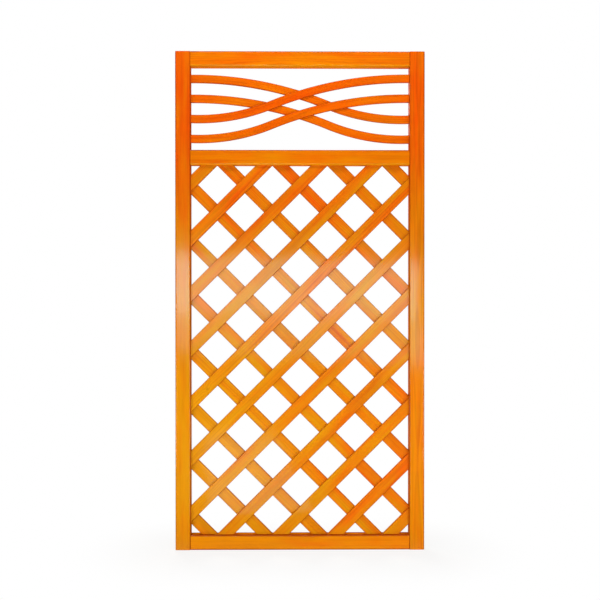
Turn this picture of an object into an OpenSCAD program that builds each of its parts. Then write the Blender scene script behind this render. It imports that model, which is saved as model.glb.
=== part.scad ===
// Garden trellis panel: a grooved timber frame that holds a diagonal lattice
// of flat slats, with four bent slats crossing in waves above the middle rail.
// X runs across the panel, Y from front to back and Z up.
// The origin lies under the middle of the panel, halfway through its thickness.

/* [Panel] */
// Overall width of the panel
panel_w = 900; // [600:10:1200]
// Overall height of the panel
panel_h = 1800; // [1200:10:2100]
// Clear height of the opening above the middle rail
wave_opening_h = 301; // [250:1:420]

/* [Frame] */
// Face width of the two upright stiles
stile_face = 55; // [40:1:80]
// Face width of the three cross rails
rail_face = 54; // [40:1:80]
// Thickness of stiles and rails from front to back
frame_t = 40; // [32:1:60]
// Radius of the rounded long edges of stiles and rails
frame_round = 5; // [1:0.5:7]
// Depth of the groove that holds slat ends and tenons
groove_depth = 14; // [10:1:20]

/* [Slats] */
// Thickness of every slat, straight or bent
slat_t = 8; // [6:0.5:10]
// Face width of the straight lattice slats
lattice_slat_w = 43; // [25:1:60]
// Lattice slats on each side of the middle one, in each layer
side_slat_count = 5; // [2:1:8]
// Distance from a corner of the lattice opening to the edge of the nearest slat
lattice_corner_gap = 25.5; // [10:0.5:60]
// Lean of the lattice slats from the upright, in degrees
lattice_lean = 45; // [35:1:55]
// Radius of the eased long edges of every slat
slat_round = 1.5; // [0.5:0.25:2.5]

/* [Waves] */
// Face width of the bent slats
wave_slat_w = 30; // [20:1:40]
// Height between the two slats of a pair
wave_step = 72; // [55:1:85]
// Gap between the middle rail and the lowest bent slat
wave_low_gap = 26; // [8:1:40]
// Gap between the top rail and the highest bent slat
wave_high_gap = 26; // [8:1:40]
// Distance from the stile to the lowest point of a bent slat
wave_low_inset = 29; // [10:1:60]
// Distance from the stile to the highest point of a bent slat
wave_high_inset = 12; // [5:1:60]
// Share of the run between those points that the lower, tighter bend takes
wave_low_bend_share = 0.35; // [0.3:0.01:0.7]

/* [Fasteners] */
// Shank diameter of the frame screws
screw_d = 5; // [4:0.5:6]
// Length of the frame screws
screw_len = 90; // [70:5:110]
// Head diameter of the frame screws
screw_head_d = 9.6; // [8:0.2:12]
// Width of a staple's crown
staple_crown_w = 12; // [8:1:16]
// Thickness of the staple wire
staple_wire = 1.3; // [0.8:0.1:2]

/* [Fits] */
// Space left behind the slat ends so that the wood can swell
swell_gap = 2; // [1:0.5:4]
// Play of the two slat layers across the groove
groove_play = 0.4; // [0.2:0.1:1]
// Play between a tenon and each cheek of the groove
tenon_play = 0.1; // [0:0.05:0.3]
// Space between a tenon's end and the bottom of the groove
tenon_end_gap = 0.5; // [0.2:0.1:2]
// Play around a screw in its hole
screw_play = 0.15; // [0.1:0.05:0.4]

/* [Hidden] */
$fn = 96;
// Flat steps in each rounded edge
round_steps = 5;
// Steps of a full turn in the long bends
bend_steps = 360;
// Halving steps that find where two bent slats cross
halving_steps = 40;
// Depth of a screw head below the stile's outer edge
screw_sink = 0.6;
// Height of the rim of a screw head
screw_rim = 0.6;
// Length of a screw's point
screw_point = 8;
// Blade length, blade width and depth of the cross recess in a screw head
recess_len = 4.8;
recess_w = 1.1;
recess_deep = 2;
// Wood left in front of the points of a staple
staple_cover = 3;
// Overrun of every cut past the face that it starts from
cut_over = 1;

// Clear width between the stiles
clear_w = panel_w - 2 * stile_face;
// Levels of the rails' edges
bottom_rail_top = rail_face;
top_rail_bottom = panel_h - rail_face;
middle_rail_top = top_rail_bottom - wave_opening_h;
middle_rail_bottom = middle_rail_top - rail_face;
// Height and middle level of the lattice opening
lattice_h = middle_rail_bottom - bottom_rail_top;
lattice_mid = bottom_rail_top + lattice_h / 2;

// Groove width: both slat layers and their play
groove_w = 2 * slat_t + groove_play;
// Length of slat that sits in the groove
slat_seat = groove_depth - swell_gap;
tenon_len = groove_depth - tenon_end_gap;
tenon_t = groove_w - 2 * tenon_play;
// A grooved rail's tenon is shorter by the depth of the rail's own groove
grooved_tenon_h = rail_face - groove_depth;

// Half the diagonal reach of the lattice opening, square to a slat
lattice_reach = clear_w / 2 * cos(lattice_lean) + lattice_h / 2 * sin(lattice_lean);
// Distance between neighbouring lattice slats, centre to centre
lattice_pitch = (lattice_reach - lattice_corner_gap - lattice_slat_w / 2) / side_slat_count;
// Slats in each layer
slat_count = 2 * side_slat_count + 1;

// Height that a bent slat climbs from its low end to its high end
wave_rise = wave_opening_h - wave_low_gap - wave_high_gap - wave_slat_w - wave_step;
// Bent slats: two arcs that share one tangent where they meet
wave_run = clear_w - wave_low_inset - wave_high_inset;
wave_slope = 2 * atan(wave_rise / wave_run);
wave_low_r = wave_run * wave_low_bend_share / sin(wave_slope);
wave_high_r = wave_run * (1 - wave_low_bend_share) / sin(wave_slope);
wave_low_x = wave_low_inset - clear_w / 2;
wave_high_x = clear_w / 2 - wave_high_inset;
wave_meet_x = wave_low_x + wave_run * wave_low_bend_share;
// Each arc runs on past its level point, far enough to be cut off in the groove
wave_low_sweep = wave_slope + asin((wave_low_inset + groove_depth) / wave_low_r);
wave_high_sweep = wave_slope + asin((wave_high_inset + groove_depth) / wave_high_r);
// Levels of the lowest points of the lower and the upper slat of a pair
wave_low_z = middle_rail_top + wave_low_gap + wave_slat_w / 2;
wave_high_z = wave_low_z + wave_step;

screw_r = screw_d / 2;
screw_head_r = screw_head_d / 2;
// A countersunk head narrows at 45 degrees
screw_cone = screw_head_r - screw_r;
// Levels of the screws, in the middle of the tenons
screw_levels = [
    grooved_tenon_h / 2,
    middle_rail_top - grooved_tenon_h / 2,
    panel_h - rail_face / 2
];

staple_leg = 2 * slat_t - staple_cover;

// Outline of a bar with rounded long edges, centred on the origin
function bar_outline(w, t, r) = [
    for (corner = [0 : 3], step = [0 : round_steps])
        let (
            turn = 90 * (corner + step / round_steps),
            side_x = corner == 0 || corner == 3 ? 1 : -1,
            side_y = corner < 2 ? 1 : -1
        )
        [side_x * (w / 2 - r) + r * cos(turn), side_y * (t / 2 - r) + r * sin(turn)]
];

// Offset of a lattice slat from the middle of the opening
function slat_offset(i) = (i - 1 - side_slat_count) * lattice_pitch;

// Where front slat i crosses back slat j
function lattice_cross(i, j) = [
    (slat_offset(i) + slat_offset(j)) / (2 * cos(lattice_lean)),
    lattice_mid + (slat_offset(j) - slat_offset(i)) / (2 * sin(lattice_lean))
];

// Does the crossing lie inside the opening with room for its staple?
function is_stapled(at) =
    abs(at[0]) < (clear_w - lattice_slat_w) / 2
    && abs(at[1] - lattice_mid) < (lattice_h - lattice_slat_w) / 2;

// Height of a front bent slat's centre line above its lowest point
function wave_lift(x) =
    x <= wave_meet_x
        ? wave_low_r - sqrt(pow(wave_low_r, 2) - pow(x - wave_low_x, 2))
        : wave_rise - wave_high_r + sqrt(pow(wave_high_r, 2) - pow(wave_high_x - x, 2));

// Distance from the middle at which slats of different levels cross, by halving
function step_cross_x(near, far, rounds) =
    let (middle = (near + far) / 2)
    rounds == 0 ? middle
    : wave_lift(middle) - wave_lift(-middle) < wave_step ? step_cross_x(middle, far, rounds - 1)
    : step_cross_x(near, middle, rounds - 1);

wave_cross_x = step_cross_x(0, clear_w / 2, halving_steps);
wave_crossings = [
    [0, wave_high_z + wave_lift(0)],
    [0, wave_low_z + wave_lift(0)],
    [-wave_cross_x, wave_high_z + wave_lift(-wave_cross_x)],
    [wave_cross_x, wave_low_z + wave_lift(wave_cross_x)]
];

// The two legs of a staple, lengthened by an overrun past the back face
module staple_legs(overrun) {
    for (side = [-1, 1])
        translate([
            side * (staple_crown_w - staple_wire) / 2 - staple_wire / 2,
            slat_t - staple_leg,
            -staple_wire / 2
        ])
            cube([staple_wire, staple_leg + overrun, staple_wire]);
}

// A staple with its crown on the back of the back slat at the given place
module staple(at) {
    translate([at[0], 0, at[1]]) {
        translate([-staple_crown_w / 2, slat_t, -staple_wire / 2])
            cube([staple_crown_w, staple_wire, staple_wire]);
        staple_legs(0);
    }
}

// The slots that the legs of such a staple make
module staple_slots(at) {
    translate([at[0], 0, at[1]])
        staple_legs(cut_over);
}

// A screw along Z with its head at the origin, pointing up
module screw() {
    difference() {
        rotate_extrude()
            polygon([
                [0, 0],
                [screw_head_r, 0],
                [screw_head_r, screw_rim],
                [screw_r, screw_rim + screw_cone],
                [screw_r, screw_len - screw_point],
                [0, screw_len]
            ]);
        for (turn = [0, 90])
            rotate([0, 0, turn])
                translate([-recess_len / 2, -recess_w / 2, -cut_over])
                    cube([recess_len, recess_w, recess_deep + cut_over]);
    }
}

// The hole that takes a screw, open past its head
module screw_hole() {
    rotate_extrude()
        polygon([
            [0, -screw_sink - cut_over],
            [screw_head_r + screw_play, -screw_sink - cut_over],
            [screw_head_r + screw_play, screw_rim],
            [screw_r + screw_play, screw_rim + screw_cone],
            [screw_r + screw_play, screw_len + screw_play],
            [0, screw_len + screw_play]
        ]);
}

// Lays a screw or its hole in through the left stile's outer edge
module from_left_edge(level) {
    translate([screw_sink - panel_w / 2, 0, level])
        rotate([0, 90, 0])
            children();
}

// The left stile as sawn, grooved and drilled
module stile() {
    difference() {
        translate([(stile_face - panel_w) / 2, 0, 0])
            linear_extrude(panel_h)
                difference() {
                    polygon(bar_outline(stile_face, frame_t, frame_round));
                    translate([stile_face / 2 - groove_depth, -groove_w / 2])
                        square([groove_depth + cut_over, groove_w]);
                }
        for (level = screw_levels)
            from_left_edge(level)
                screw_hole();
    }
}

// A rail from shoulder to shoulder with its tenons: groove is 1 for a groove
// in the upper edge, -1 for one in the lower edge and 0 for none
module rail(bottom, groove, screw_level) {
    difference() {
        union() {
            translate([0, 0, bottom + rail_face / 2])
                rotate([90, 0, 90])
                    linear_extrude(clear_w, center = true)
                        polygon(bar_outline(frame_t, rail_face, frame_round));
            translate([-clear_w / 2 - tenon_len, -tenon_t / 2, bottom])
                cube([clear_w + 2 * tenon_len, tenon_t, rail_face]);
        }
        if (groove != 0)
            translate([
                -clear_w / 2 - groove_depth,
                -groove_w / 2,
                bottom + (groove > 0 ? rail_face - groove_depth : -cut_over)
            ])
                cube([clear_w + 2 * groove_depth, groove_w, groove_depth + cut_over]);
        for (turn = [0, 180])
            rotate([0, 0, turn])
                from_left_edge(screw_level)
                    screw_hole();
    }
}

// Cuts slats off in the grooves around an opening
module cut_to_grooves(bottom, height) {
    intersection() {
        children();
        translate([-clear_w / 2 - slat_seat, -slat_t - cut_over, bottom - slat_seat])
            cube([clear_w + 2 * slat_seat, 2 * (slat_t + cut_over), height + 2 * slat_seat]);
    }
}

// A lattice slat at an offset from the middle: lean is positive for a slat
// that rises to the right, and layer is -1 in front and 1 behind
module lattice_slat(offset, lean, layer) {
    cut_to_grooves(bottom_rail_top, lattice_h)
        translate([0, layer * slat_t / 2, lattice_mid])
            rotate([0, lean, 0])
                translate([offset, 0, 0])
                    linear_extrude(2 * (clear_w + lattice_h), center = true)
                        polygon(bar_outline(lattice_slat_w, slat_t, slat_round));
}

// One arc of a bent slat, which leaves the origin level and runs to the left
module wave_arc(radius, sweep) {
    mirror([1, 0, 0])
        translate([0, radius, 0])
            rotate(-90)
                rotate_extrude(angle = sweep, $fn = bend_steps)
                    translate([radius, 0])
                        polygon(bar_outline(wave_slat_w, slat_t, slat_round));
}

// A front bent slat whose lowest point, on the left, lies at the given level
module wave_slat(level) {
    cut_to_grooves(middle_rail_top, wave_opening_h)
        translate([wave_meet_x, -slat_t / 2, level + wave_lift(wave_meet_x)])
            rotate([90, 0, 0])
                rotate(wave_slope) {
                    wave_arc(wave_low_r, wave_low_sweep);
                    rotate(180)
                        wave_arc(wave_high_r, wave_high_sweep);
                }
}

// A front bent slat with the slots of the staples that hold it
module stapled_wave(level) {
    difference() {
        wave_slat(level);
        for (at = wave_crossings)
            staple_slots(at);
    }
}

module left_stile() {
    color("darkorange")
        stile();
}

module right_stile() {
    color("darkorange")
        rotate([0, 0, 180])
            stile();
}

module top_rail() {
    color("orange")
        rail(top_rail_bottom, 0, screw_levels[2]);
}

module middle_rail() {
    color("orange")
        rail(middle_rail_bottom, -1, screw_levels[1]);
}

module bottom_rail() {
    color("orange")
        rail(0, 1, screw_levels[0]);
}

module front_wave_upper() {
    color("chocolate")
        stapled_wave(wave_high_z);
}

module front_wave_lower() {
    color("chocolate")
        stapled_wave(wave_low_z);
}

// The back slats are front slats turned round, so they fall to the right
module back_wave(level) {
    difference() {
        rotate([0, 0, 180])
            wave_slat(level);
        for (at = wave_crossings)
            staple_slots(at);
    }
}

module back_wave_upper() {
    color("peru")
        back_wave(wave_high_z);
}

module back_wave_lower() {
    color("peru")
        back_wave(wave_low_z);
}

module front_slat(i) {
    color("chocolate")
        difference() {
            lattice_slat(slat_offset(i), lattice_lean, -1);
            for (j = [1 : slat_count]) {
                at = lattice_cross(i, j);
                if (is_stapled(at))
                    staple_slots(at);
            }
        }
}

module back_slat(j) {
    color("peru")
        difference() {
            lattice_slat(slat_offset(j), -lattice_lean, 1);
            for (i = [1 : slat_count]) {
                at = lattice_cross(i, j);
                if (is_stapled(at))
                    staple_slots(at);
            }
        }
}

module lattice_staples() {
    color("silver")
        for (i = [1 : slat_count], j = [1 : slat_count]) {
            at = lattice_cross(i, j);
            if (is_stapled(at))
                staple(at);
        }
}

module wave_staples() {
    color("silver")
        for (at = wave_crossings)
            staple(at);
}

module frame_screws() {
    color("gold")
        for (turn = [0, 180], level = screw_levels)
            rotate([0, 0, turn])
                from_left_edge(level)
                    screw();
}

left_stile();
right_stile();
top_rail();
middle_rail();
bottom_rail();
front_wave_upper();
front_wave_lower();
back_wave_upper();
back_wave_lower();
for (i = [1 : slat_count]) front_slat(i);
for (j = [1 : slat_count]) back_slat(j);
lattice_staples();
wave_staples();
frame_screws();
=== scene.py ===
import math
from collections import namedtuple
from contextlib import contextmanager

import bmesh
import bpy
from bpy.props import FloatProperty, FloatVectorProperty, PointerProperty
from mathutils import Matrix, Vector


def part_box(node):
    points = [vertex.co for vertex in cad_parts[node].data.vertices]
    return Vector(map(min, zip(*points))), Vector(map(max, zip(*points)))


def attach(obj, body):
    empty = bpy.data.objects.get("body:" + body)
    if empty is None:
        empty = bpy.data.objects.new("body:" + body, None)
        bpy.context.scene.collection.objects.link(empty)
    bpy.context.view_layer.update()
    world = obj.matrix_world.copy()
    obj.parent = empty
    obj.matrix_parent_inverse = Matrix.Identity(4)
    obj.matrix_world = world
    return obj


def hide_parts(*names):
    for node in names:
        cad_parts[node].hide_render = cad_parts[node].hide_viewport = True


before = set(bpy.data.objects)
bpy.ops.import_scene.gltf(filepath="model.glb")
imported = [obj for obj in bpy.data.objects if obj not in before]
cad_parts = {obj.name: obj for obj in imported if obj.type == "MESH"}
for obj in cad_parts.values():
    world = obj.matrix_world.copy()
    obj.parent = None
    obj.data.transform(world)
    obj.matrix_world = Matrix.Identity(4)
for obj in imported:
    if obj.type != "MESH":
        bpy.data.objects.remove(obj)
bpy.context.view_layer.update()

bl_info = {
    "name": "Trellis panel",
    "version": (1, 0, 0),
    "blender": (4, 5, 0),
    "location": "View3D > Sidebar > Trellis",
    "description": "Models a stained wooden trellis panel piece by piece and sets up its studio",
    "category": "Object",
}

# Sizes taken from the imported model, in metres
STILE_LOW, STILE_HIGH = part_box("left_stile")
TOP_LOW, TOP_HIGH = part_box("top_rail")
SLAT_LOW, SLAT_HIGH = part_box("front_slat_6")
MIDDLE_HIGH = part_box("middle_rail")[1]
BOTTOM_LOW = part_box("bottom_rail")[0]
PANEL_H = STILE_HIGH.z
STILE_FACE = STILE_HIGH.x - STILE_LOW.x
FRAME_T = STILE_HIGH.y - STILE_LOW.y
CLEAR_W = -2 * STILE_HIGH.x
RAIL_FACE = TOP_HIGH.z - TOP_LOW.z
TENON_LEN = TOP_HIGH.x - CLEAR_W / 2
SLAT_T = SLAT_HIGH.y - SLAT_LOW.y
SLAT_SEAT = SLAT_HIGH.x - CLEAR_W / 2
LATTICE_LOW = BOTTOM_LOW.z + RAIL_FACE
LATTICE_HIGH = MIDDLE_HIGH.z - RAIL_FACE
LATTICE_MID = (LATTICE_LOW + LATTICE_HIGH) / 2
WAVE_LOW = MIDDLE_HIGH.z
WAVE_HIGH = TOP_LOW.z

# Straight slats on each side of the middle one, and in a whole layer
SIDE_SLATS = 5
SLATS = 2 * SIDE_SLATS + 1

# How far cutters run past what they cut, and how near points count as level or as one
OVERRUN = 0.002
SAME_LEVEL = 1e-5
SAME_POINT = 1e-6

# Steps in the rounded edges, a bent slat's two arcs, rods and a staple's bends
EDGE_STEPS = 6
END_STEPS = 2
SHOULDER_STEPS = 1
SLAT_STEPS = 3
LOW_ARC_STEPS = 44
HIGH_ARC_STEPS = 60
ROD_SIDES = 32
WIRE_STEPS = 2
CORNER_STEPS = 6

# Edges that bend less than this are shaded smooth, in degrees
SMOOTH_ANGLE = 35
SCREW_SMOOTH_ANGLE = 40

# A plank's number sets its tone and where in the log it was sawn. Rails and slats count on from
# theirs, and the stiles have tones of their own
LEFT_PLANK, RIGHT_PLANK, RAIL_PLANK, SLAT_PLANK, WAVE_PLANK = 55, 2, 3, 10, 40
LEFT_TONE, RIGHT_TONE = 0.5, 0.46
LEAST_TONE, TONE_RANGE, TONE_STEP = 0.3, 0.4, 0.618

# Step along the log and turn round its pith from plank to plank, and how far off the pith lies
LOG_STEP, LOG_TURN = 0.83, math.radians(137.5)
PITH_SIDE, PITH_DEPTH, PITH_SWING = 0.045, 0.055, 0.03

# Shares of a staple's wire in its bends, its rounding and its points, and how far it is out of true
BEND_SHARE, WIRE_ROUND_SHARE, POINT_SHARE = 1.1, 0.25, 0.35
STAPLE_TILT, TILT_STEP = math.radians(3), 2.4

# Shares of a screw's head in its face and bevel, of its core in the tip, of the recess in its foot
FACE_SHARE, BEVEL_SHARE = 0.93, 0.3
TIP_SHARE, TIP_END_SHARE = 4, 0.1
RECESS_FOOT_SHARES = (0.45, 0.6, 1)


def length(title, note, default):
    """A size in metres that a user may change."""
    return FloatProperty(name=title, description=note, default=default, unit="LENGTH",
                         subtype="DISTANCE", precision=4)


def colour(title, note, default):
    """A colour that a user may change."""
    return FloatVectorProperty(name=title, description=note, default=default, size=3,
                               subtype="COLOR", min=0, max=1)


def spot_in_room(title, note, default):
    """A place in the studio that a user may change."""
    return FloatVectorProperty(name=title, description=note, default=default, subtype="XYZ",
                               unit="LENGTH")


class TrellisTimber(bpy.types.PropertyGroup):
    """Sizes of the stiles and rails."""
    edge_round: length("Edge rounding", "Radius of the rounded long edges", 0.005)
    end_ease: length("End easing", "Size of the eased edges at the ends of the stiles", 0.001)
    shoulder_ease: length("Shoulder easing", "Size of the eased edges at the rails' shoulders",
                          0.0005)
    groove_w: length("Groove width", "Width of the groove that holds the slats", 0.0164)
    groove_depth: length("Groove depth", "Depth of that groove", 0.014)
    tenon_t: length("Tenon thickness", "Thickness of the tenons in the grooves", 0.0162)


class TrellisSlats(bpy.types.PropertyGroup):
    """Sizes of the straight and the bent slats."""
    lattice_w: length("Lattice slat width", "Face width of a straight slat", 0.043)
    corner_gap: length("Corner gap", "From a corner of the opening to the nearest slat", 0.0255)
    lean: FloatProperty(name="Lean", description="Lean of the straight slats from the upright",
                        default=math.radians(45), subtype="ANGLE")
    edge_round: length("Slat rounding", "Radius of the eased long edges of a slat", 0.0015)
    wave_w: length("Bent slat width", "Face width of a bent slat", 0.03)
    wave_step: length("Bent slat step", "Height between the two slats of a pair", 0.072)
    wave_gap: length("Bent slat gap", "Gap between the bent slats and the rails", 0.026)
    low_inset: length("Low inset", "From the stile to a bent slat's lowest point", 0.029)
    high_inset: length("High inset", "From the stile to a bent slat's highest point", 0.012)
    low_share: FloatProperty(name="Low bend share",
                             description="Share of the run in the lower bend",
                             default=0.35, subtype="FACTOR", min=0.3, max=0.7)


class TrellisFasteners(bpy.types.PropertyGroup):
    """Sizes of the staples and screws."""
    crown_w: length("Staple width", "Width of a staple's crown", 0.012)
    wire: length("Staple wire", "Thickness of the staple wire", 0.0013)
    leg_cover: length("Staple cover", "Wood in front of a staple's points", 0.003)
    head_d: length("Screw head", "Diameter of a screw's head", 0.0096)
    shank_d: length("Screw shank", "Outer diameter of a screw's thread", 0.005)
    core_d: length("Screw core", "Diameter of the core inside the thread", 0.0036)
    screw_len: length("Screw length", "Length of a screw", 0.09)
    head_sink: length("Head sink", "Depth of a screw's head below the stile's edge", 0.0006)
    hole_play: length("Hole play", "Play around a screw in its hole", 0.00015)
    recess_depth: length("Recess depth", "Depth of the cross recess in a screw's head", 0.0021)
    recess_span: length("Recess span", "Length of a blade of that recess", 0.0048)
    recess_w: length("Recess width", "Width of a blade of that recess", 0.0011)


class TrellisFinish(bpy.types.PropertyGroup):
    """Colours of the stain, of the painted shade and of the metal."""
    # Red and amber mix by plank tone and noise, and by height, which is painted light
    red_stain: colour("Red stain", "Stain where it lies thickest", (0.98, 0.10, 0.001))
    amber_stain: colour("Amber stain", "Thinnest stain on the rails and bent slats",
                        (0.94, 0.31, 0.0015))
    dull_amber: colour("Dull amber", "Thinnest stain on the stiles and straight slats",
                       (0.825, 0.31, 0.0015))
    # Besides soaked stain, this colour is the painted shade on rounded edges and on upper or inner
    # narrow faces
    deep_stain_and_shade: colour("Deep stain", "Stain soaked into late wood, edges and end grain",
                       (0.40, 0.045, 0.002))
    knot: colour("Knot", "Heart of a knot", (0.16, 0.022, 0.003))
    staple_zinc: colour("Staple zinc", "Galvanised staple wire", (0.56, 0.56, 0.54))
    screw_zinc: colour("Screw zinc", "Yellow zinc on the screws", (0.66, 0.50, 0.22))


class TrellisStudio(bpy.types.PropertyGroup):
    """Camera, room light and floor."""
    camera_place: spot_in_room("Camera", "Place of the camera", (-0.0245, -3.026, 0.9236))
    camera_aim: spot_in_room("Aim", "Point that the camera looks at", (0.0, 0.0, 0.9036))
    lens: FloatProperty(name="Lens", description="Focal length", default=50.0, unit="CAMERA")
    sky: FloatProperty(name="Room light", description="Strength of the light from all round",
                       default=0.11)
    floor: colour("Floor", "Colour of the floor", (0.88, 0.88, 0.88))


GROUPS = {"timber": TrellisTimber, "slats": TrellisSlats, "fasteners": TrellisFasteners,
          "finish": TrellisFinish, "studio": TrellisStudio}


# Modelling steps

def take(piece):
    """Make a piece the only one selected and the active one."""
    bpy.ops.object.select_all(action="DESELECT")
    piece.select_set(True)
    bpy.context.view_layer.objects.active = piece


def rename(piece, name):
    """Name a piece and its mesh alike."""
    piece.name = name
    piece.data.name = name


def start_piece(name, add, scale=(1, 1, 1), **options):
    """Add a primitive by itself and bring its size, turn and place into its mesh."""
    bpy.ops.object.select_all(action="DESELECT")
    add(**options)
    piece = bpy.context.object
    rename(piece, name)
    piece.scale = scale
    settle(piece)
    return piece


def settle(piece):
    """Bring a piece's own size, turn and place into its mesh."""
    take(piece)
    bpy.ops.object.transform_apply(location=True, rotation=True, scale=True)


def block(name, low, high):
    """A block between two corners."""
    low, high = Vector(low), Vector(high)
    return start_piece(name, bpy.ops.mesh.primitive_cube_add, size=1,
                       location=(low + high) / 2, scale=high - low)


def copy_of(model, name):
    """A copy of a piece with a mesh of its own."""
    piece = model.copy()
    piece.data = model.data.copy()
    rename(piece, name)
    bpy.context.collection.objects.link(piece)
    return piece


@contextmanager
def editing(piece):
    """Edit mode on one piece."""
    take(piece)
    bpy.ops.object.mode_set(mode="EDIT")
    yield
    bpy.ops.object.mode_set(mode="OBJECT")


def pick(piece, kind, wanted):
    """Select the wanted vertices, edges or faces of a piece, in edit mode."""
    bpy.ops.mesh.select_mode(type=kind)
    bpy.ops.mesh.select_all(action="DESELECT")
    shape = bmesh.from_edit_mesh(piece.data)
    for part in {"VERT": shape.verts, "EDGE": shape.edges, "FACE": shape.faces}[kind]:
        if wanted(part):
            part.select_set(True)
    bmesh.update_edit_mesh(piece.data)


def pick_all():
    """Select all of the piece in edit mode."""
    bpy.ops.mesh.select_all(action="SELECT")


def round_off(size, segments, affect="EDGES"):
    """Round the selected edges or corners, in edit mode."""
    bpy.ops.mesh.bevel(offset=size, segments=segments, profile=0.5, affect=affect)


def soften(piece, wanted, size, segments):
    """Round the edges of a piece that are wanted."""
    with editing(piece):
        pick(piece, "EDGE", wanted)
        round_off(size, segments)


def runs_along(axis):
    """A test for edges that run along an axis, numbered 0 to 2."""
    def test(edge):
        way = edge.verts[1].co - edge.verts[0].co
        return abs(way[axis]) > 0.99 * way.length
    return test


def lies_at(axis, *levels):
    """A test for parts that lie at one of the levels on an axis."""
    def test(part):
        return any(all(abs(corner.co[axis] - level) < SAME_LEVEL for corner in part.verts)
                   for level in levels)
    return test


def carve(piece, cutter, operation="DIFFERENCE"):
    """Cut a shape out of a piece, or add it, and remove the shape."""
    cut = piece.modifiers.new("carve", "BOOLEAN")
    cut.operation = operation
    cut.solver = "EXACT"
    cut.object = cutter
    take(piece)
    bpy.ops.object.modifier_apply(modifier=cut.name)
    bpy.data.objects.remove(cutter)


def saw_off(piece, place, outward):
    """Saw off what lies on the outward side of a plane and close the cut."""
    with editing(piece):
        pick_all()
        bpy.ops.mesh.bisect(plane_co=place, plane_no=outward, use_fill=True, clear_outer=True,
                            threshold=SAME_POINT)


def extrude(way):
    """Draw the selected faces out along a way, in edit mode."""
    bpy.ops.mesh.extrude_region_move(TRANSFORM_OT_translate={"value": way})


def join(pieces, name):
    """Join copies into one piece."""
    bpy.ops.object.select_all(action="DESELECT")
    for piece in pieces:
        piece.select_set(True)
    bpy.context.view_layer.objects.active = pieces[0]
    bpy.ops.object.join()
    rename(pieces[0], name)
    return pieces[0]


def face_outwards():
    """Point all faces outwards, in edit mode."""
    pick_all()
    bpy.ops.mesh.normals_make_consistent(inside=False)


def clean(piece):
    """Merge what a cut or spin left double and point faces outwards."""
    with editing(piece):
        pick_all()
        bpy.ops.mesh.remove_doubles(threshold=SAME_POINT)
        face_outwards()


def sand(piece, angle=SMOOTH_ANGLE):
    """Shade the rounded edges smooth and keep the flat faces flat."""
    take(piece)
    bpy.ops.object.shade_smooth_by_angle(angle=math.radians(angle))
    flat = piece.modifiers.new("flat faces", "WEIGHTED_NORMAL")
    flat.keep_sharp = True
    bpy.ops.object.modifier_apply(modifier=flat.name)


def plank_tone(number):
    """How red a plank is."""
    return LEAST_TONE + TONE_RANGE * ((TONE_STEP * number) % 1)


def lay_grain(piece, place, half_w, half_t, number, tone):
    """Give every point its place in the plank: along, across and through the grain."""
    turn = LOG_TURN * number
    pith = Vector((LOG_STEP * number, PITH_SIDE * math.cos(turn),
                   PITH_DEPTH + PITH_SWING * math.sin(turn)))
    grain, section = [], []
    for point in piece.data.vertices:
        spot = Vector(place(point.co))
        grain.extend(spot + pith)
        section.extend((spot.y / half_w, spot.z / half_t, tone))
    for name, values in (("grain", grain), ("section", section)):
        made = piece.data.attributes.new(name, "FLOAT_VECTOR", "POINT")
        made.data.foreach_set("vector", values)


def hand_over(piece, node, material):
    """Finish a piece and put it in the place of its node."""
    piece.data.materials.clear()
    piece.data.materials.append(material)
    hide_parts(node)
    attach(piece, "root")


# Finishes

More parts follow.
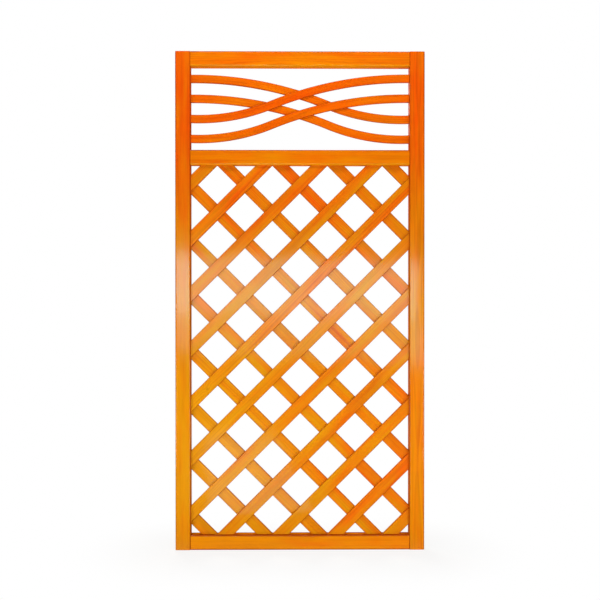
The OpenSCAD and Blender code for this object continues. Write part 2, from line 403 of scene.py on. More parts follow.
class Shade:
    """A value in a material. Sums with it add Math nodes."""

    def __init__(self, tree, socket=None):
        self.tree = tree
        self.socket = socket

    def node(self, kind, settings=None, sockets=None, out=0):
        """Add a node, set it up, feed its sockets and give one of its outputs."""
        made = self.tree.nodes.new(kind)
        for name, value in (settings or {}).items():
            setattr(made, name, value)
        for name, value in (sockets or {}).items():
            if isinstance(value, Shade):
                self.tree.links.new(value.socket, made.inputs[name])
            else:
                made.inputs[name].default_value = value
        return Shade(self.tree, made.outputs[out] if made.outputs else None)

    def also(self, out):
        """Another output of the node that this value comes from."""
        return Shade(self.tree, self.socket.node.outputs[out])

    def math(self, operation, *values):
        """The result of a Math node."""
        return self.node("ShaderNodeMath", {"operation": operation}, dict(enumerate(values)))

    def __add__(self, other):
        return self.math("ADD", self, other)

    __radd__ = __add__

    def __sub__(self, other):
        return self.math("SUBTRACT", self, other)

    def __rsub__(self, other):
        return self.math("SUBTRACT", other, self)

    def __mul__(self, other):
        return self.math("MULTIPLY", self, other)

    __rmul__ = __mul__

    def __truediv__(self, other):
        return self.math("DIVIDE", self, other)

    def __neg__(self):
        return self.math("MULTIPLY", self, -1)

    def __abs__(self):
        return self.math("ABSOLUTE", self)

    def place(self, kind="Object"):
        """A point's own place."""
        return self.node("ShaderNodeTexCoord", None, None, kind)

    def laid(self, name):
        """The values that were laid on the points of a mesh."""
        return self.node("ShaderNodeAttribute", {"attribute_name": name}, None, "Vector")

    def rise(self, low, high):
        """0 below the low value and 1 above the high one, with a smooth step between."""
        return self.node("ShaderNodeMapRange", {"interpolation_type": "SMOOTHSTEP"},
                         {"Value": self, "From Min": low, "From Max": high})

    def swing(self):
        """A value from 0 to 1 as a swing about its middle."""
        return self - 0.5

    def hypot(self, other):
        """The long side over two short ones."""
        return self.math("SQRT", self * self + other * other)

    def parts(self):
        """The three numbers of a vector."""
        made = self.node("ShaderNodeSeparateXYZ", None, {0: self})
        return made, made.also(1), made.also(2)

    def vector(self, operation, *values, out=0):
        """The result of a Vector Math node."""
        return self.node("ShaderNodeVectorMath", {"operation": operation},
                         dict(enumerate(values)), out)

    def stretched(self, scale):
        """A vector times a scale for each axis."""
        return self.vector("MULTIPLY", self, scale)

    def noise(self, waves, detail):
        """Noise from 0 to 1, with so many waves in a metre of each axis."""
        return self.node("ShaderNodeTexNoise", None,
                         {"Vector": self.stretched(waves), "Scale": 1.0, "Detail": detail})

    def mix(self, first, second, share):
        """One colour mixed with a share of another."""
        return self.node("ShaderNodeMix", {"data_type": "RGBA", "clamp_factor": True},
                         {0: share, 6: first, 7: second}, 2)

    def bump(self, strength, depth):
        """A relief of this height."""
        return self.node("ShaderNodeBump", None,
                         {"Strength": strength, "Distance": depth, "Height": self})


def new_material(name):
    """A material with an empty node tree, and its surface."""
    made = bpy.data.materials.new(name)
    made.use_nodes = True
    made.node_tree.nodes.clear()
    return made, Shade(made.node_tree)


def show(shade, surface):
    """Send a shader to the material's output."""
    shade.node("ShaderNodeOutputMaterial", None, {"Surface": surface})


def rgba(value):
    """A colour with full cover."""
    return (*value, 1.0)


# How a kind of timber takes the stain and the varnish: redness is the share of red stain at the
# panel's foot and head, and its change with height is painted light, lighter amber low down, fade
# the heights between which it changes, spread how far patches differ, rim where the rounded edges
# start across and through, rim_dark and side_dark how much painted shade darkens these edges and
# the upper or inner narrow face, end_dark how dark the end grain is, low_light how much painted
# light lightens the lower edge in front, coat and sheen the gloss, knots the share of places with a
# knot, drift how much redder it is to the right, low on the panel
Look = namedtuple("Look", "redness fade spread rim rim_dark side_dark end_dark low_light coat sheen"
                          " knots drift")
STILE_LOOK = Look(
    redness=(0.24, 0.88), fade=(0.52, 0.86), spread=0.25, rim=((0.80, 0.96), (0.62, 0.92)),
    rim_dark=0.55, side_dark=0.45, end_dark=0.6, low_light=0.0, coat=0.95, sheen=0.0,
    knots=0.06, drift=0.4)
RAIL_LOOK = Look(
    redness=(0.28, 0.42), fade=(0.52, 0.86), spread=0.3, rim=((0.80, 0.96), (0.62, 0.92)),
    rim_dark=0.6, side_dark=0.15, end_dark=0.0, low_light=1.0, coat=0.55, sheen=0.0,
    knots=0.06, drift=1.0)
# The bottom rail gets more painted shade on its rims and top face, and no painted light on its
# lower edge
BOTTOM_RAIL_LOOK = RAIL_LOOK._replace(
    rim=((0.74, 0.92), (0.62, 0.92)), rim_dark=0.7, side_dark=0.75, low_light=0.0)
LATTICE_LOOK = Look(
    redness=(0.22, 0.56), fade=(0.55, 0.69), spread=0.35, rim=((0.84, 0.98), (0.3, 0.8)),
    rim_dark=0.6, side_dark=0.3, end_dark=0.0, low_light=0.0, coat=0.45, sheen=0.03,
    knots=0.05, drift=1.0)
BENT_LOOK = Look(
    redness=(0.3, 0.71), fade=(0.52, 0.86), spread=0.25, rim=((0.80, 0.98), (0.3, 0.8)),
    rim_dark=0.6, side_dark=0.3, end_dark=0.0, low_light=0.0, coat=0.5, sheen=0.0,
    knots=0.04, drift=0.0)

# Knots: the room and the size of one along and across the grain, in metres, its scatter in that
# room, the smallest share of its size and what the largest has more, the reach of its heart and of
# the bent rings, and the step from no knot to a knot
KNOT_ROOM, KNOT_SIZE = (0.42, 0.105), (0.0055, 0.0040)
KNOT_SCATTER = 0.9
SMALLEST_KNOT, KNOT_GROWTH = 0.5, 0.7
KNOT_HEART, KNOT_REACH = (0.4, 1.1), (0.2, 4.0)
KNOT_STEP = 0.02

# Growth rings: their width, how far they waver and bend round a knot, and where late wood lies
RING_W, RING_WAVER, RING_BEND = 0.0032, 0.014, 0.006
LATE_COMES, LATE_GOES = (0.30, 0.86), (0.88, 1.0)

# Noise in the pine: waves in a metre along, across and through the grain, and detail
WAVER = (1.6, 9.0, 9.0), 2.0
FIBRE = (14.0, 850.0, 850.0), 3.0
STREAK = (2.6, 85.0, 85.0), 2.0
CLOUD = (5.0, 24.0, 24.0), 3.0
BLOTCH = (3.0, 16.0, 16.0), 2.0

# Where a plank's faces lie, as shares of its half width and thickness, and its end grain, as a
# share of the panel's height from the middle
FRONT_HALF, LOWER_EDGE = (-0.3, 0.3), (0.70, 0.92)
NARROW_FACE, BARE_FACE = (0.95, 0.995), (0.93, 0.99)
END_GRAIN = (0.4993, 0.4998)

# What makes the stain redder or paler, with PAINTED_EDGE_LIGHT and PAINTED_FOOT_LIGHT as painted
# light on the lower edge and at the foot, and the height round which it gets redder to the right
TONE_RED, CLOUD_RED, STREAK_RED = 0.5, 4, 1.5
PAINTED_EDGE_LIGHT, PAINTED_FOOT_LIGHT, FOOT = 0.5, 0.12, (0.0, 0.25)
DRIFT_HEIGHT, DRIFT_FADE = 0.20, (0.06, 0.24)

# Shares of deep stain, where it starts, the most of it, and the knot's own colour in its heart
LATE_SOAK, END_SOAK, MOST_SOAK, HEART_DARK = 0.20, 0.6, 0.9, 0.55
STREAK_SOAK, STREAK_START = 0.12, (0.45, 0.75)
FIBRE_SOAK, FIBRE_START = 0.20, (0.45, 0.8)
BLOTCH_SOAK, BLOTCH_START = 0.16, (0.5, 0.75)

# Relief of fibres, late wood, streaks and knots, its strength and its depth in metres
FIBRE_RELIEF, LATE_RELIEF, STREAK_RELIEF, HEART_RELIEF = 0.5, 0.6, 0.6, -0.5
PINE_STRENGTH, PINE_DEPTH = 0.35, 0.0004

# Roughness of the wood, and what late wood, streaks and rounded edges add to it
ROUGH, LATE_ROUGH, STREAK_ROUGH, RIM_ROUGH = 0.46, 0.10, -0.08, 0.10

# Varnish: the least of it, what streaks add, what rims and bare faces lose, and its gloss
LEAST_COAT, STREAK_COAT, RIM_LOSS, BARE_LOSS = 0.75, 0.5, 0.5, 0.9
COAT_ROUGH, COAT_IOR = 0.10, 1.5

# Zinc: noise of the dull patches and the drawing marks, and how strongly both show
PATCH, MARKS = ((420.0, 420.0, 420.0), 3.0), ((900.0, 2600.0, 2600.0), 2.0)
PATCH_START, PATCH_SHARE, PATCH_ROUGH = (0.35, 0.75), 0.6, 0.2
ZINC_STRENGTH, ZINC_DEPTH = 0.2, 0.0001
STAPLE_ROUGH, SCREW_ROUGH = 0.36, 0.3


def stained_pine(name, finish, look, amber):
    """Pine with an orange stain under a satin varnish, with painted light and shade in its colour.
    """
    made, shade = new_material(name)
    grain = shade.laid("grain")
    across, through, tone = shade.laid("section").parts()
    beside, _, height = shade.place().parts()
    height = height / PANEL_H

    # Knots: sparse cells on the face, each an oval that bends the rings around it
    cells = grain.stretched((1 / KNOT_ROOM[0], 1 / KNOT_ROOM[1], 0.0))
    cell = shade.node("ShaderNodeTexVoronoi", {"voronoi_dimensions": "2D"},
                      {"Vector": cells, "Scale": 1.0, "Randomness": KNOT_SCATTER})
    lucky = shade.node("ShaderNodeSeparateColor", None, {0: cell.also("Color")})
    size = SMALLEST_KNOT + KNOT_GROWTH * lucky.also(1)
    apart = shade.vector("SUBTRACT", cells, cell.also("Position"))
    apart = apart.stretched((KNOT_ROOM[0] / KNOT_SIZE[0], KNOT_ROOM[1] / KNOT_SIZE[1], 0.0))
    apart = shade.vector("LENGTH", apart, out="Value") / size
    present = lucky.rise(1 - look.knots, 1 - look.knots + KNOT_STEP)
    heart = present * (1 - apart.rise(*KNOT_HEART))
    bend = present * (1 - apart.rise(*KNOT_REACH))

    # Growth rings round the pith, wavering along the plank
    waver = grain.noise(*WAVER).swing()
    _, side, deep = grain.parts()
    ring = shade.math("FRACT", (side.hypot(deep) + RING_WAVER * waver + RING_BEND * bend) / RING_W)
    late = ring.rise(*LATE_COMES) * (1 - ring.rise(*LATE_GOES))

    fibre = grain.noise(*FIBRE)
    streak = grain.noise(*STREAK)
    cloud = grain.noise(*CLOUD)
    blotch = grain.noise(*BLOTCH)

    # Painted light on the lower edge in front, the rounded edges and the upper or inner narrow face
    # that get painted shade, the ends
    light = look.low_light * (-across).rise(*LOWER_EDGE) * (-through).rise(*FRONT_HALF)
    rim = abs(across).rise(*look.rim[0]) * abs(through).rise(*look.rim[1]) * (1 - light)
    narrow = across.rise(*NARROW_FACE)
    end = abs(height.swing()).rise(*END_GRAIN)
    bare = shade.math("MAXIMUM", abs(across).rise(*BARE_FACE), end)

    # Stain from amber to red, lighter amber low down as painted light, then what soaks in deeper
    # with painted shade on the rims and narrow faces, then the knots
    foot_red, head_red = look.redness
    drift = look.drift * beside * (1 - abs(height - DRIFT_HEIGHT).rise(*DRIFT_FADE))
    # The rise in red with height and PAINTED_FOOT_LIGHT are painted light: lighter amber low down,
    # redder high up
    red = (foot_red + (head_red - foot_red) * height.rise(*look.fade)
           + TONE_RED * tone.swing() + CLOUD_RED * look.spread * cloud.swing()
           + STREAK_RED * look.spread * streak.swing() - PAINTED_EDGE_LIGHT * light
           - PAINTED_FOOT_LIGHT * (1 - height.rise(*FOOT)) + drift)
    # rim_dark on the rims and side_dark on the upper or inner narrow face add painted shade here,
    # the rest is the stain soaking in
    soaked = (LATE_SOAK * late + STREAK_SOAK * streak.rise(*STREAK_START)
              + FIBRE_SOAK * fibre.rise(*FIBRE_START) + BLOTCH_SOAK * blotch.rise(*BLOTCH_START)
              + look.rim_dark * rim + look.side_dark * narrow
              + look.end_dark * end * (END_SOAK + late))
    stain = shade.mix(rgba(amber), rgba(finish.red_stain), red)
    stain = shade.mix(stain, rgba(finish.deep_stain_and_shade), shade.math("MINIMUM", soaked, MOST_SOAK))
    stain = shade.mix(stain, rgba(finish.knot), HEART_DARK * heart)

    relief = (FIBRE_RELIEF * fibre + LATE_RELIEF * late + STREAK_RELIEF * streak
              + HEART_RELIEF * heart)
    rough = ROUGH + LATE_ROUGH * late + STREAK_ROUGH * streak.swing() + RIM_ROUGH * rim
    gloss = (look.coat * (LEAST_COAT + STREAK_COAT * streak) * (1 - RIM_LOSS * rim)
             * (1 - BARE_LOSS * bare))
    show(shade, shade.node("ShaderNodeBsdfPrincipled", None, {
        "Base Color": stain, "Roughness": rough, "Coat Weight": gloss,
        "Coat Roughness": COAT_ROUGH, "Coat IOR": COAT_IOR, "Specular IOR Level": look.sheen,
        "Normal": relief.bump(PINE_STRENGTH, PINE_DEPTH)}))
    return made


def zinc(name, tint, roughness):
    """Zinc plate with fine drawing marks and dull patches."""
    made, shade = new_material(name)
    place = shade.place()
    dull = place.noise(*PATCH).rise(*PATCH_START)
    marks = place.noise(*MARKS)
    body = shade.mix(rgba(tint), rgba([PATCH_SHARE * part for part in tint]), dull)
    show(shade, shade.node("ShaderNodeBsdfPrincipled", None, {
        "Base Color": body, "Metallic": 1.0, "Roughness": roughness + PATCH_ROUGH * dull,
        "Normal": marks.bump(ZINC_STRENGTH, ZINC_DEPTH)}))
    return made


# Layout of the slats

def lattice_pitch(slats):
    """Distance between neighbouring straight slats, centre to centre."""
    high = LATTICE_HIGH - LATTICE_LOW
    reach = (CLEAR_W * math.cos(slats.lean) + high * math.sin(slats.lean)) / 2
    return (reach - slats.corner_gap - slats.lattice_w / 2) / SIDE_SLATS


def lattice_crossings(slats):
    """Where straight slats cross with room for a staple."""
    pitch = lattice_pitch(slats)
    room_x = (CLEAR_W - slats.lattice_w) / 2
    room_z = (LATTICE_HIGH - LATTICE_LOW - slats.lattice_w) / 2
    slots = range(-SIDE_SLATS, SIDE_SLATS + 1)
    for front in slots:
        for back in slots:
            x = (front + back) * pitch / (2 * math.cos(slats.lean))
            z = (back - front) * pitch / (2 * math.sin(slats.lean))
            if abs(x) < room_x and abs(z) < room_z:
                yield x, LATTICE_MID + z


class Bend:
    """The centre line of a bent slat in front: two arcs that meet on one tangent."""

    def __init__(self, slats):
        run = CLEAR_W - slats.low_inset - slats.high_inset
        self.rise = WAVE_HIGH - WAVE_LOW - 2 * slats.wave_gap - slats.wave_w - slats.wave_step
        self.slope = 2 * math.atan(self.rise / run)
        self.low_r = run * slats.low_share / math.sin(self.slope)
        self.high_r = run * (1 - slats.low_share) / math.sin(self.slope)
        self.low_x = slats.low_inset - CLEAR_W / 2
        self.high_x = CLEAR_W / 2 - slats.high_inset
        self.meet_x = self.low_x + run * slats.low_share
        self.low_z = WAVE_LOW + slats.wave_gap + slats.wave_w / 2
        self.step = slats.wave_step

    def lift(self, x):
        """Height of the centre line above its lowest point."""
        if x <= self.meet_x:
            return self.low_r - math.sqrt(self.low_r ** 2 - (x - self.low_x) ** 2)
        return self.rise - self.high_r + math.sqrt(self.high_r ** 2 - (self.high_x - x) ** 2)

    def place(self, x, y, z, level):
        """A point's place along, across and through the slat."""
        low_x, low_z = x - self.low_x, level + self.low_r - z
        turn = math.atan2(low_x, low_z)
        if turn <= self.slope:
            return self.low_r * turn, math.hypot(low_x, low_z) - self.low_r, y + SLAT_T / 2
        high_x, high_z = self.high_x - x, z - level - self.rise + self.high_r
        turn = self.slope - math.atan2(high_x, high_z)
        along = self.low_r * self.slope + self.high_r * turn
        return along, self.high_r - math.hypot(high_x, high_z), y + SLAT_T / 2

    def crossings(self):
        """Where two bent slats cross."""
        near, far = 0.0, CLEAR_W / 2
        while far - near > SAME_POINT:
            middle = (near + far) / 2
            if self.lift(middle) - self.lift(-middle) < self.step:
                near = middle
            else:
                far = middle
        upper = self.low_z + self.step
        yield 0.0, upper + self.lift(0.0)
        yield 0.0, self.low_z + self.lift(0.0)
        yield -near, upper + self.lift(-near)
        yield near, self.low_z + self.lift(near)


def screw_levels(timber):
    """Levels of the screws, in the middle of the tenons."""
    tenon_h = RAIL_FACE - timber.groove_depth
    return tenon_h / 2, MIDDLE_HIGH.z - tenon_h / 2, PANEL_H - RAIL_FACE / 2


# Screws and their holes

def turned_rod(name, rings):
    """A rod along Z, drawn from ring to ring, each given as its radius and level."""
    rod = start_piece(name, bpy.ops.mesh.primitive_circle_add, vertices=ROD_SIDES,
                      radius=rings[0][0], fill_type="NGON", location=(0, 0, rings[0][1]))
    with editing(rod):
        pick_all()
        for (old, low), (new, high) in zip(rings, rings[1:]):
            extrude((0, 0, high - low))
            if new != old:
                share = new / old
                bpy.ops.transform.resize(value=(share, share, 1), center_override=(0, 0, high))
        face_outwards()
    return rod


def from_edge(piece, side, level, sink):
    """Lay a rod in through the outer edge of the left (-1) or right (1) stile."""
    piece.rotation_euler = (0, -side * math.pi / 2, 0)
    piece.location = (side * (CLEAR_W / 2 + STILE_FACE - sink), 0, level)
    settle(piece)
    return piece


def screw_hole(fasteners):
    """The hole that takes a screw, open past its head."""
    head = fasteners.head_d / 2 + fasteners.hole_play
    shank = fasteners.shank_d / 2 + fasteners.hole_play
    rim = fasteners.head_sink
    return turned_rod("hole", (
        (head, -fasteners.head_sink - OVERRUN), (head, rim), (shank, rim + head - shank),
        (shank, fasteners.screw_len + fasteners.hole_play)))


def drill(piece, fasteners, sides, levels):
    """Drill the screw holes of a stile or a rail."""
    for side in sides:
        for level in levels:
            carve(piece, from_edge(screw_hole(fasteners), side, level, fasteners.head_sink))


# Studio

WHITE = (1, 1, 1, 1)

# How strongly the background shows in a mirror image, and where it starts on the floor and beyond
MIRRORED = 0.4
FLOOR_BACK, ROOM_BACK = (-0.2, 0.2), (-0.5, 0.0)

# The floor in front of the panel, and the room, are dim in mirror images
FLOOR_DIM, FLOOR_DIM_SHARE, ROOM_DIM_SHARE = 0.02, 0.97, 0.8

# The floor's size, its white share under the panel, and how far from there it turns all white
FLOOR_SIZE = 24
SHADOW_WHITE, SHADOW_REACH = 0.86, (0.0, 0.45)

# Lamps: sizes and places in metres, roll in degrees, power in watts
Lamp = namedtuple("Lamp", "name place aim size power tint roll", defaults=[0])
WARM, COOL, DAYLIGHT = (1.0, 0.90, 0.78), (0.55, 1.0, 0.94), (1.0, 0.95, 0.88)
LAMPS = (
    Lamp("right_lamp", place=(1.15, -1.25, 0.31), aim=(0.0, 0.0, 0.4),
         size=(1.0, 0.6), power=10.9, tint=WARM),
    Lamp("left_lamp", place=(-1.25, -1.25, 0.31), aim=(0.0, 0.0, 0.4),
         size=(1.0, 0.6), power=10.1, tint=WARM),
    Lamp("top_lamp", place=(0.0, -0.9, 2.5), aim=(0.0, 0.0, 1.7),
         size=(1.9, 0.5), power=14.6, tint=WARM),
    Lamp("window", place=(-0.17, -3.25, 0.98), aim=(-0.17, 0.0, 0.98),
         size=(2.14, 0.45), power=16.7, tint=COOL, roll=-2.2),
    Lamp("low_window", place=(0.0, -3.25, 0.605), aim=(0.0, 0.0, 0.605),
         size=(2.2, 0.30), power=4.1, tint=COOL, roll=-4),
    Lamp("floor_lamp", place=(-0.27, -1.46, 0.01), aim=(-0.27, -1.46, 1.0),
         size=(0.44, 1.98), power=6.0, tint=COOL, roll=6.5),
    Lamp("back_fill", place=(-1.2, 3.6, 2.9), aim=(0.0, 0.0, 0.8),
         size=(2.4, 1.4), power=140.0, tint=DAYLIGHT))


def background(shade, backdrop):
    """Which rays see the white background, and which ones are mirror images."""
    ray = shade.node("ShaderNodeLightPath", None, None, "Is Camera Ray")
    mirror = ray.also("Is Glossy Ray")
    others = shade.math("MAXIMUM", MIRRORED * mirror * backdrop, ray.also("Is Transmission Ray"))
    return shade.math("MAXIMUM", ray, others), mirror


def lay_floor(studio):
    """A white floor that keeps the panel's shadow."""
    floor = start_piece("floor", bpy.ops.mesh.primitive_plane_add, size=FLOOR_SIZE)
    made, shade = new_material("floor_paper")
    beside, behind, _ = shade.place().parts()
    beside = shade.math("MAXIMUM", abs(beside) - CLEAR_W / 2, 0.0)
    backdrop = behind.rise(*FLOOR_BACK)
    seen, mirror = background(shade, backdrop)
    paper = shade.node("ShaderNodeBsdfDiffuse", None, {"Color": rgba(studio.floor)})
    dim, white = (shade.node("ShaderNodeEmission", None, {"Color": WHITE, "Strength": strength})
                  for strength in (FLOOR_DIM, 1.0))
    paper = shade.node("ShaderNodeMixShader", None, {
        0: FLOOR_DIM_SHARE * mirror * (1 - backdrop), 1: paper, 2: dim})
    clear = beside.hypot(behind).rise(*SHADOW_REACH)
    show(shade, shade.node("ShaderNodeMixShader", None, {
        0: seen * (SHADOW_WHITE + (1 - SHADOW_WHITE) * clear), 1: paper, 2: white}))
    floor.data.materials.append(made)


def light_room(scene, studio):
    """A dim room that the camera sees as white."""
    room = bpy.data.worlds.new("room")
    scene.world = room
    room.use_nodes = True
    room.node_tree.nodes.clear()
    shade = Shade(room.node_tree)
    _, behind, _ = shade.place("Generated").parts()
    seen, mirror = background(shade, behind.rise(*ROOM_BACK))
    dim = studio.sky * (1 - ROOM_DIM_SHARE * mirror)
    light = shade.node("ShaderNodeBackground", None, {
        "Color": WHITE, "Strength": seen + (1 - seen) * dim})
    shade.node("ShaderNodeOutputWorld", None, {"Surface": light})


def put_up(scene, name, data, place, aim, roll=0):
    """Put a lamp or a camera in its place, turned to what it aims at."""
    holder = bpy.data.objects.new(name, data)
    scene.collection.objects.link(holder)
    holder.location = place
    turn = (Vector(aim) - Vector(place)).to_track_quat("-Z", "Y").to_matrix()
    holder.rotation_euler = (turn @ Matrix.Rotation(math.radians(roll), 3, "Z")).to_euler()
    return holder


# Operators

class TRELLIS_OT_stiles(bpy.types.Operator):
    """Model the two grooved stiles"""
    bl_idname = "trellis.stiles"
    bl_label = "Stiles"

    def execute(self, context):
        scene = context.scene
        timber, finish = scene.trellis_timber, scene.trellis_finish
        pine = stained_pine("stile_pine", finish, STILE_LOOK, finish.dull_amber)
        left = block("left_stile_timber", STILE_LOW, STILE_HIGH)
        soften(left, runs_along(2), timber.edge_round, EDGE_STEPS)
        soften(left, lies_at(2, 0.0, PANEL_H), timber.end_ease, END_STEPS)
        inner = STILE_HIGH.x
        carve(left, block("groove", (inner - timber.groove_depth, -timber.groove_w / 2, -OVERRUN),
                          (inner + OVERRUN, timber.groove_w / 2, PANEL_H + OVERRUN)))
        drill(left, scene.trellis_fasteners, [-1], screw_levels(timber))
        clean(left)
        sand(left)
        right = copy_of(left, "right_stile_timber")
        right.rotation_euler = (0, 0, math.pi)
        settle(right)
        middle = (STILE_LOW.x + STILE_HIGH.x) / 2
        for node, piece, side, number, tone in (
                ("left_stile", left, 1, LEFT_PLANK, LEFT_TONE),
                ("right_stile", right, -1, RIGHT_PLANK, RIGHT_TONE)):
            lay_grain(piece, lambda p: (p.z, side * p.x - middle, side * p.y),
                      STILE_FACE / 2, FRAME_T / 2, number, tone)
            hand_over(piece, node, pine)
        return {"FINISHED"}


class TRELLIS_OT_rails(bpy.types.Operator):
    """Model the three rails with their tenons"""
    bl_idname = "trellis.rails"
    bl_label = "Rails"

    def execute(self, context):
        scene = context.scene
        timber, finish = scene.trellis_timber, scene.trellis_finish
        # The upper rails get painted light on their lower edges, the bottom rail painted shade on
        # its rims and top face
        upper_pine_painted_light = stained_pine("upper_rail_pine_painted_light", finish, RAIL_LOOK, finish.amber_stain)
        bottom_pine_painted_shade = stained_pine("bottom_rail_pine_painted_shade", finish, BOTTOM_RAIL_LOOK,
                                   finish.amber_stain)
        half = CLEAR_W / 2
        low_level, middle_level, top_level = screw_levels(timber)
        # Node, lower edge, side of the groove (1 above, -1 below, 0 none), level of the screws
        rails = (("top_rail", PANEL_H - RAIL_FACE, 0, top_level),
                 ("middle_rail", LATTICE_HIGH, -1, middle_level),
                 ("bottom_rail", 0.0, 1, low_level))
        for number, (node, low, groove, level) in enumerate(rails, RAIL_PLANK):
            high = low + RAIL_FACE
            rail = block(node + "_timber", (-half, -FRAME_T / 2, low), (half, FRAME_T / 2, high))
            soften(rail, runs_along(0), timber.edge_round, EDGE_STEPS)
            soften(rail, lies_at(0, -half, half), timber.shoulder_ease, SHOULDER_STEPS)
            carve(rail, block("tenon", (-half - TENON_LEN, -timber.tenon_t / 2, low),
                              (half + TENON_LEN, timber.tenon_t / 2, high)), "UNION")
            if groove:
                floor = high - timber.groove_depth if groove > 0 else low - OVERRUN
                roof = high + OVERRUN if groove > 0 else low + timber.groove_depth
                end = half + timber.groove_depth
                carve(rail, block("groove", (-end, -timber.groove_w / 2, floor),
                                  (end, timber.groove_w / 2, roof)))
            drill(rail, scene.trellis_fasteners, [-1, 1], [level])
            clean(rail)
            sand(rail)
            middle = (low + high) / 2
            lay_grain(rail, lambda p: (p.x, p.z - middle, p.y), RAIL_FACE / 2, FRAME_T / 2,
                      number, plank_tone(number))
            hand_over(rail, node, bottom_pine_painted_shade if groove > 0 else upper_pine_painted_light)
        return {"FINISHED"}


class TRELLIS_OT_lattice(bpy.types.Operator):
    """Model the straight slats of both layers"""
    bl_idname = "trellis.lattice"
    bl_label = "Lattice slats"

    def execute(self, context):
        scene = context.scene
        slats, finish = scene.trellis_slats, scene.trellis_finish
        pine = stained_pine("lattice_pine", finish, LATTICE_LOOK, finish.dull_amber)
        pitch = lattice_pitch(slats)
        reach = CLEAR_W + LATTICE_HIGH - LATTICE_LOW
        half_w, half_t = slats.lattice_w / 2, SLAT_T / 2
        model = block("slat_model", (-half_w, -half_t, -reach), (half_w, half_t, reach))
        soften(model, runs_along(2), slats.edge_round, SLAT_STEPS)
        side = CLEAR_W / 2 + SLAT_SEAT
        cuts = (((-side, 0, 0), (-1, 0, 0)), ((side, 0, 0), (1, 0, 0)),
                ((0, 0, LATTICE_LOW - SLAT_SEAT), (0, 0, -1)),
                ((0, 0, LATTICE_HIGH + SLAT_SEAT), (0, 0, 1)))
        number = SLAT_PLANK
        for layer, word in ((-1, "front"), (1, "back")):
            turn = Matrix.Rotation(-layer * slats.lean, 4, "Y")
            for i in range(SLATS):
                node = "%s_slat_%d" % (word, i + 1)
                piece = copy_of(model, node + "_pine")
                place = (Matrix.Translation((0, layer * half_t, LATTICE_MID)) @ turn
                         @ Matrix.Translation(((i - SIDE_SLATS) * pitch, 0, 0)))
                piece.matrix_world = place
                settle(piece)
                for spot, outward in cuts:
                    saw_off(piece, spot, outward)
                sand(piece)
                back = place.inverted()
                lay_grain(piece, lambda p: (back @ p).zxy, half_w, half_t, number,
                          plank_tone(number))
                number += 1
                hand_over(piece, node, pine)
        bpy.data.objects.remove(model)
        return {"FINISHED"}


class TRELLIS_OT_bent_slats(bpy.types.Operator):
    """Model the four bent slats"""
    bl_idname = "trellis.bent_slats"
    bl_label = "Bent slats"

    def execute(self, context):
        scene = context.scene
        slats, finish = scene.trellis_slats, scene.trellis_finish
        groove = scene.trellis_timber.groove_depth
        pine = stained_pine("bent_pine", finish, BENT_LOOK, finish.amber_stain)
        bend = Bend(slats)
        low_over = math.asin((slats.low_inset + groove) / bend.low_r)
        high_over = math.asin((slats.high_inset + groove) / bend.high_r)
        side = CLEAR_W / 2 + SLAT_SEAT
        half_w, half_t = slats.wave_w / 2, SLAT_T / 2
        number = WAVE_PLANK
        for name, level in (("lower", bend.low_z), ("upper", bend.low_z + bend.step)):
            low_hub = Vector((bend.low_x, -half_t, level + bend.low_r))
            high_hub = Vector((bend.high_x, -half_t, level + bend.rise - bend.high_r))
            start = low_hub + bend.low_r * Vector((-math.sin(low_over), 0, -math.cos(low_over)))
            front = start_piece("front_wave_%s_pine" % name, bpy.ops.mesh.primitive_plane_add,
                                size=1, location=start, rotation=(0, math.pi / 2 + low_over, 0),
                                scale=(slats.wave_w, SLAT_T, 1))
            with editing(front):
                pick_all()
                round_off(slats.edge_round, SLAT_STEPS, "VERTICES")
                pick_all()
                bpy.ops.mesh.spin(steps=LOW_ARC_STEPS, angle=bend.slope + low_over,
                                  center=low_hub, axis=(0, 1, 0))
                bpy.ops.mesh.spin(steps=HIGH_ARC_STEPS, angle=bend.slope + high_over,
                                  center=high_hub, axis=(0, -1, 0))
            clean(front)
            for way in (-1, 1):
                saw_off(front, (way * side, 0, 0), (way, 0, 0))
            sand(front)
            back = copy_of(front, "back_wave_%s_pine" % name)
            back.rotation_euler = (0, 0, math.pi)
            settle(back)
            for word, piece, turned in (("front", front, 1), ("back", back, -1)):
                lay_grain(piece, lambda p: bend.place(turned * p.x, turned * p.y, p.z, level),
                          half_w, half_t, number, plank_tone(number))
                number += 1
                hand_over(piece, "%s_wave_%s" % (word, name), pine)
        return {"FINISHED"}


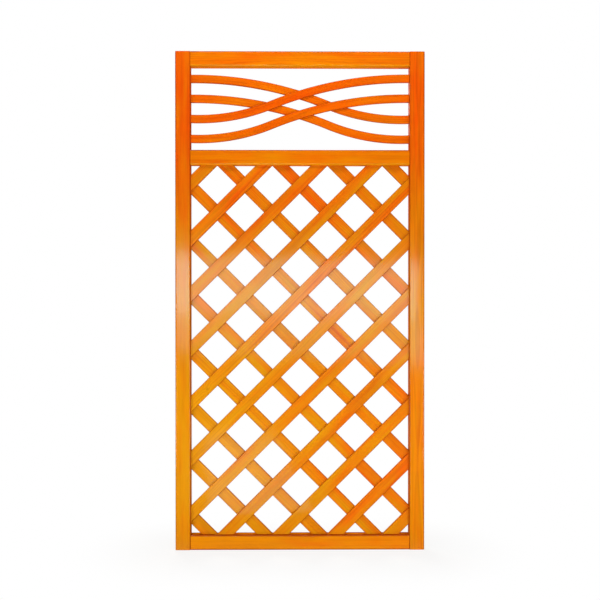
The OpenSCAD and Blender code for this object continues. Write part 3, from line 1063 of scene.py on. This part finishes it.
class TRELLIS_OT_staples(bpy.types.Operator):
    """Model the wire staples at the crossings"""
    bl_idname = "trellis.staples"
    bl_label = "Staples"

    def execute(self, context):
        scene = context.scene
        slats, fasteners = scene.trellis_slats, scene.trellis_fasteners
        metal = zinc("staple_zinc", scene.trellis_finish.staple_zinc, STAPLE_ROUGH)
        wire = fasteners.wire
        bend_r = BEND_SHARE * wire
        leg_x = fasteners.crown_w / 2 - wire / 2
        point_y = fasteners.leg_cover - SLAT_T
        crown_y = SLAT_T + wire / 2
        bend_x, bend_y = leg_x - bend_r, crown_y - bend_r
        model = start_piece("staple_model", bpy.ops.mesh.primitive_plane_add, size=wire,
                            location=(-leg_x, point_y, 0), rotation=(math.pi / 2, 0, 0))
        with editing(model):
            pick_all()
            round_off(WIRE_ROUND_SHARE * wire, WIRE_STEPS, "VERTICES")
            pick_all()
            extrude((0, bend_y - point_y, 0))
            for side, way in ((-1, (2 * bend_x, 0, 0)), (1, (0, point_y - bend_y, 0))):
                bpy.ops.mesh.spin(steps=CORNER_STEPS, angle=math.pi / 2, axis=(0, 0, 1),
                                  center=(side * bend_x, bend_y, 0))
                extrude(way)
            for side in (-1, 1):
                pick(model, "VERT",
                     lambda v: abs(v.co.y - point_y) < SAME_POINT and side * v.co.x > 0)
                bpy.ops.transform.resize(value=(POINT_SHARE, 1, 1),
                                         center_override=(side * leg_x, point_y, 0))
        clean(model)
        sand(model)
        for node, places in (("lattice_staples", lattice_crossings(slats)),
                             ("wave_staples", Bend(slats).crossings())):
            staples = []
            for number, (x, z) in enumerate(places):
                staple = copy_of(model, "staple")
                staple.rotation_euler = (0, STAPLE_TILT * math.sin(TILT_STEP * number), 0)
                staple.location = (x, 0, z)
                settle(staple)
                staples.append(staple)
            hand_over(join(staples, node + "_wire"), node, metal)
        bpy.data.objects.remove(model)
        return {"FINISHED"}


class TRELLIS_OT_screws(bpy.types.Operator):
    """Model the countersunk frame screws"""
    bl_idname = "trellis.screws"
    bl_label = "Screws"

    def execute(self, context):
        scene = context.scene
        timber, fasteners = scene.trellis_timber, scene.trellis_fasteners
        metal = zinc("screw_zinc", scene.trellis_finish.screw_zinc, SCREW_ROUGH)
        head, core = fasteners.head_d / 2, fasteners.core_d / 2
        rim = fasteners.head_sink
        tip = fasteners.screw_len
        model = turned_rod("screw_model", (
            (FACE_SHARE * head, 0.0), (head, BEVEL_SHARE * rim), (head, rim),
            (core, rim + head - core), (core, tip - TIP_SHARE * core),
            (TIP_END_SHARE * core, tip)))
        depth = fasteners.recess_depth
        half_span, half_w = fasteners.recess_span / 2, fasteners.recess_w / 2
        for turn in (0, math.pi / 2):
            blade = block("recess", (-half_span, -half_w, -OVERRUN), (half_span, half_w, depth))
            with editing(blade):
                pick(blade, "FACE", lies_at(2, depth))
                bpy.ops.transform.resize(value=RECESS_FOOT_SHARES, center_override=(0, 0, depth))
            blade.rotation_euler = (0, 0, turn)
            settle(blade)
            carve(model, blade)
        clean(model)
        sand(model, SCREW_SMOOTH_ANGLE)
        screws = []
        for side in (-1, 1):
            for level in screw_levels(timber):
                screw = copy_of(model, "screw")
                screws.append(from_edge(screw, side, level, fasteners.head_sink))
        bpy.data.objects.remove(model)
        hand_over(join(screws, "frame_screws_zinc"), "frame_screws", metal)
        return {"FINISHED"}


class TRELLIS_OT_studio(bpy.types.Operator):
    """Set up the floor, the lamps, the room light and the camera"""
    bl_idname = "trellis.studio"
    bl_label = "Studio"

    def execute(self, context):
        scene = context.scene
        studio = scene.trellis_studio
        scene.view_settings.view_transform = "Standard"
        lay_floor(studio)
        light_room(scene, studio)
        for lamp in LAMPS:
            light = bpy.data.lights.new(lamp.name, "AREA")
            light.shape = "RECTANGLE"
            light.size, light.size_y = lamp.size
            light.energy = lamp.power
            light.color = lamp.tint
            holder = put_up(scene, lamp.name, light, lamp.place, lamp.aim, lamp.roll)
            holder.visible_camera = False
        view = bpy.data.cameras.new("camera")
        view.lens = studio.lens
        scene.camera = put_up(scene, "camera", view, studio.camera_place, studio.camera_aim)
        return {"FINISHED"}


OPERATORS = (TRELLIS_OT_stiles, TRELLIS_OT_rails, TRELLIS_OT_lattice, TRELLIS_OT_bent_slats,
             TRELLIS_OT_staples, TRELLIS_OT_screws, TRELLIS_OT_studio)


class TRELLIS_PT_panel(bpy.types.Panel):
    """Lists the steps, sizes and colours of the trellis panel"""
    bl_idname = "TRELLIS_PT_panel"
    bl_label = "Trellis panel"
    bl_space_type = "VIEW_3D"
    bl_region_type = "UI"
    bl_category = "Trellis"

    def draw(self, context):
        for step in OPERATORS:
            self.layout.operator(step.bl_idname)
        for word, group in GROUPS.items():
            box = self.layout.box()
            for name in group.__annotations__:
                box.prop(getattr(context.scene, "trellis_" + word), name)


CLASSES = (*GROUPS.values(), *OPERATORS, TRELLIS_PT_panel)


def register():
    for made in CLASSES:
        bpy.utils.register_class(made)
    for word, group in GROUPS.items():
        setattr(bpy.types.Scene, "trellis_" + word, PointerProperty(type=group))


def unregister():
    for word in GROUPS:
        delattr(bpy.types.Scene, "trellis_" + word)
    for made in reversed(CLASSES):
        bpy.utils.unregister_class(made)


def main():
    register()
    bpy.ops.trellis.stiles()
    bpy.ops.trellis.rails()
    bpy.ops.trellis.lattice()
    bpy.ops.trellis.bent_slats()
    bpy.ops.trellis.staples()
    bpy.ops.trellis.screws()
    bpy.ops.trellis.studio()


if __name__ == "__main__":
    main()
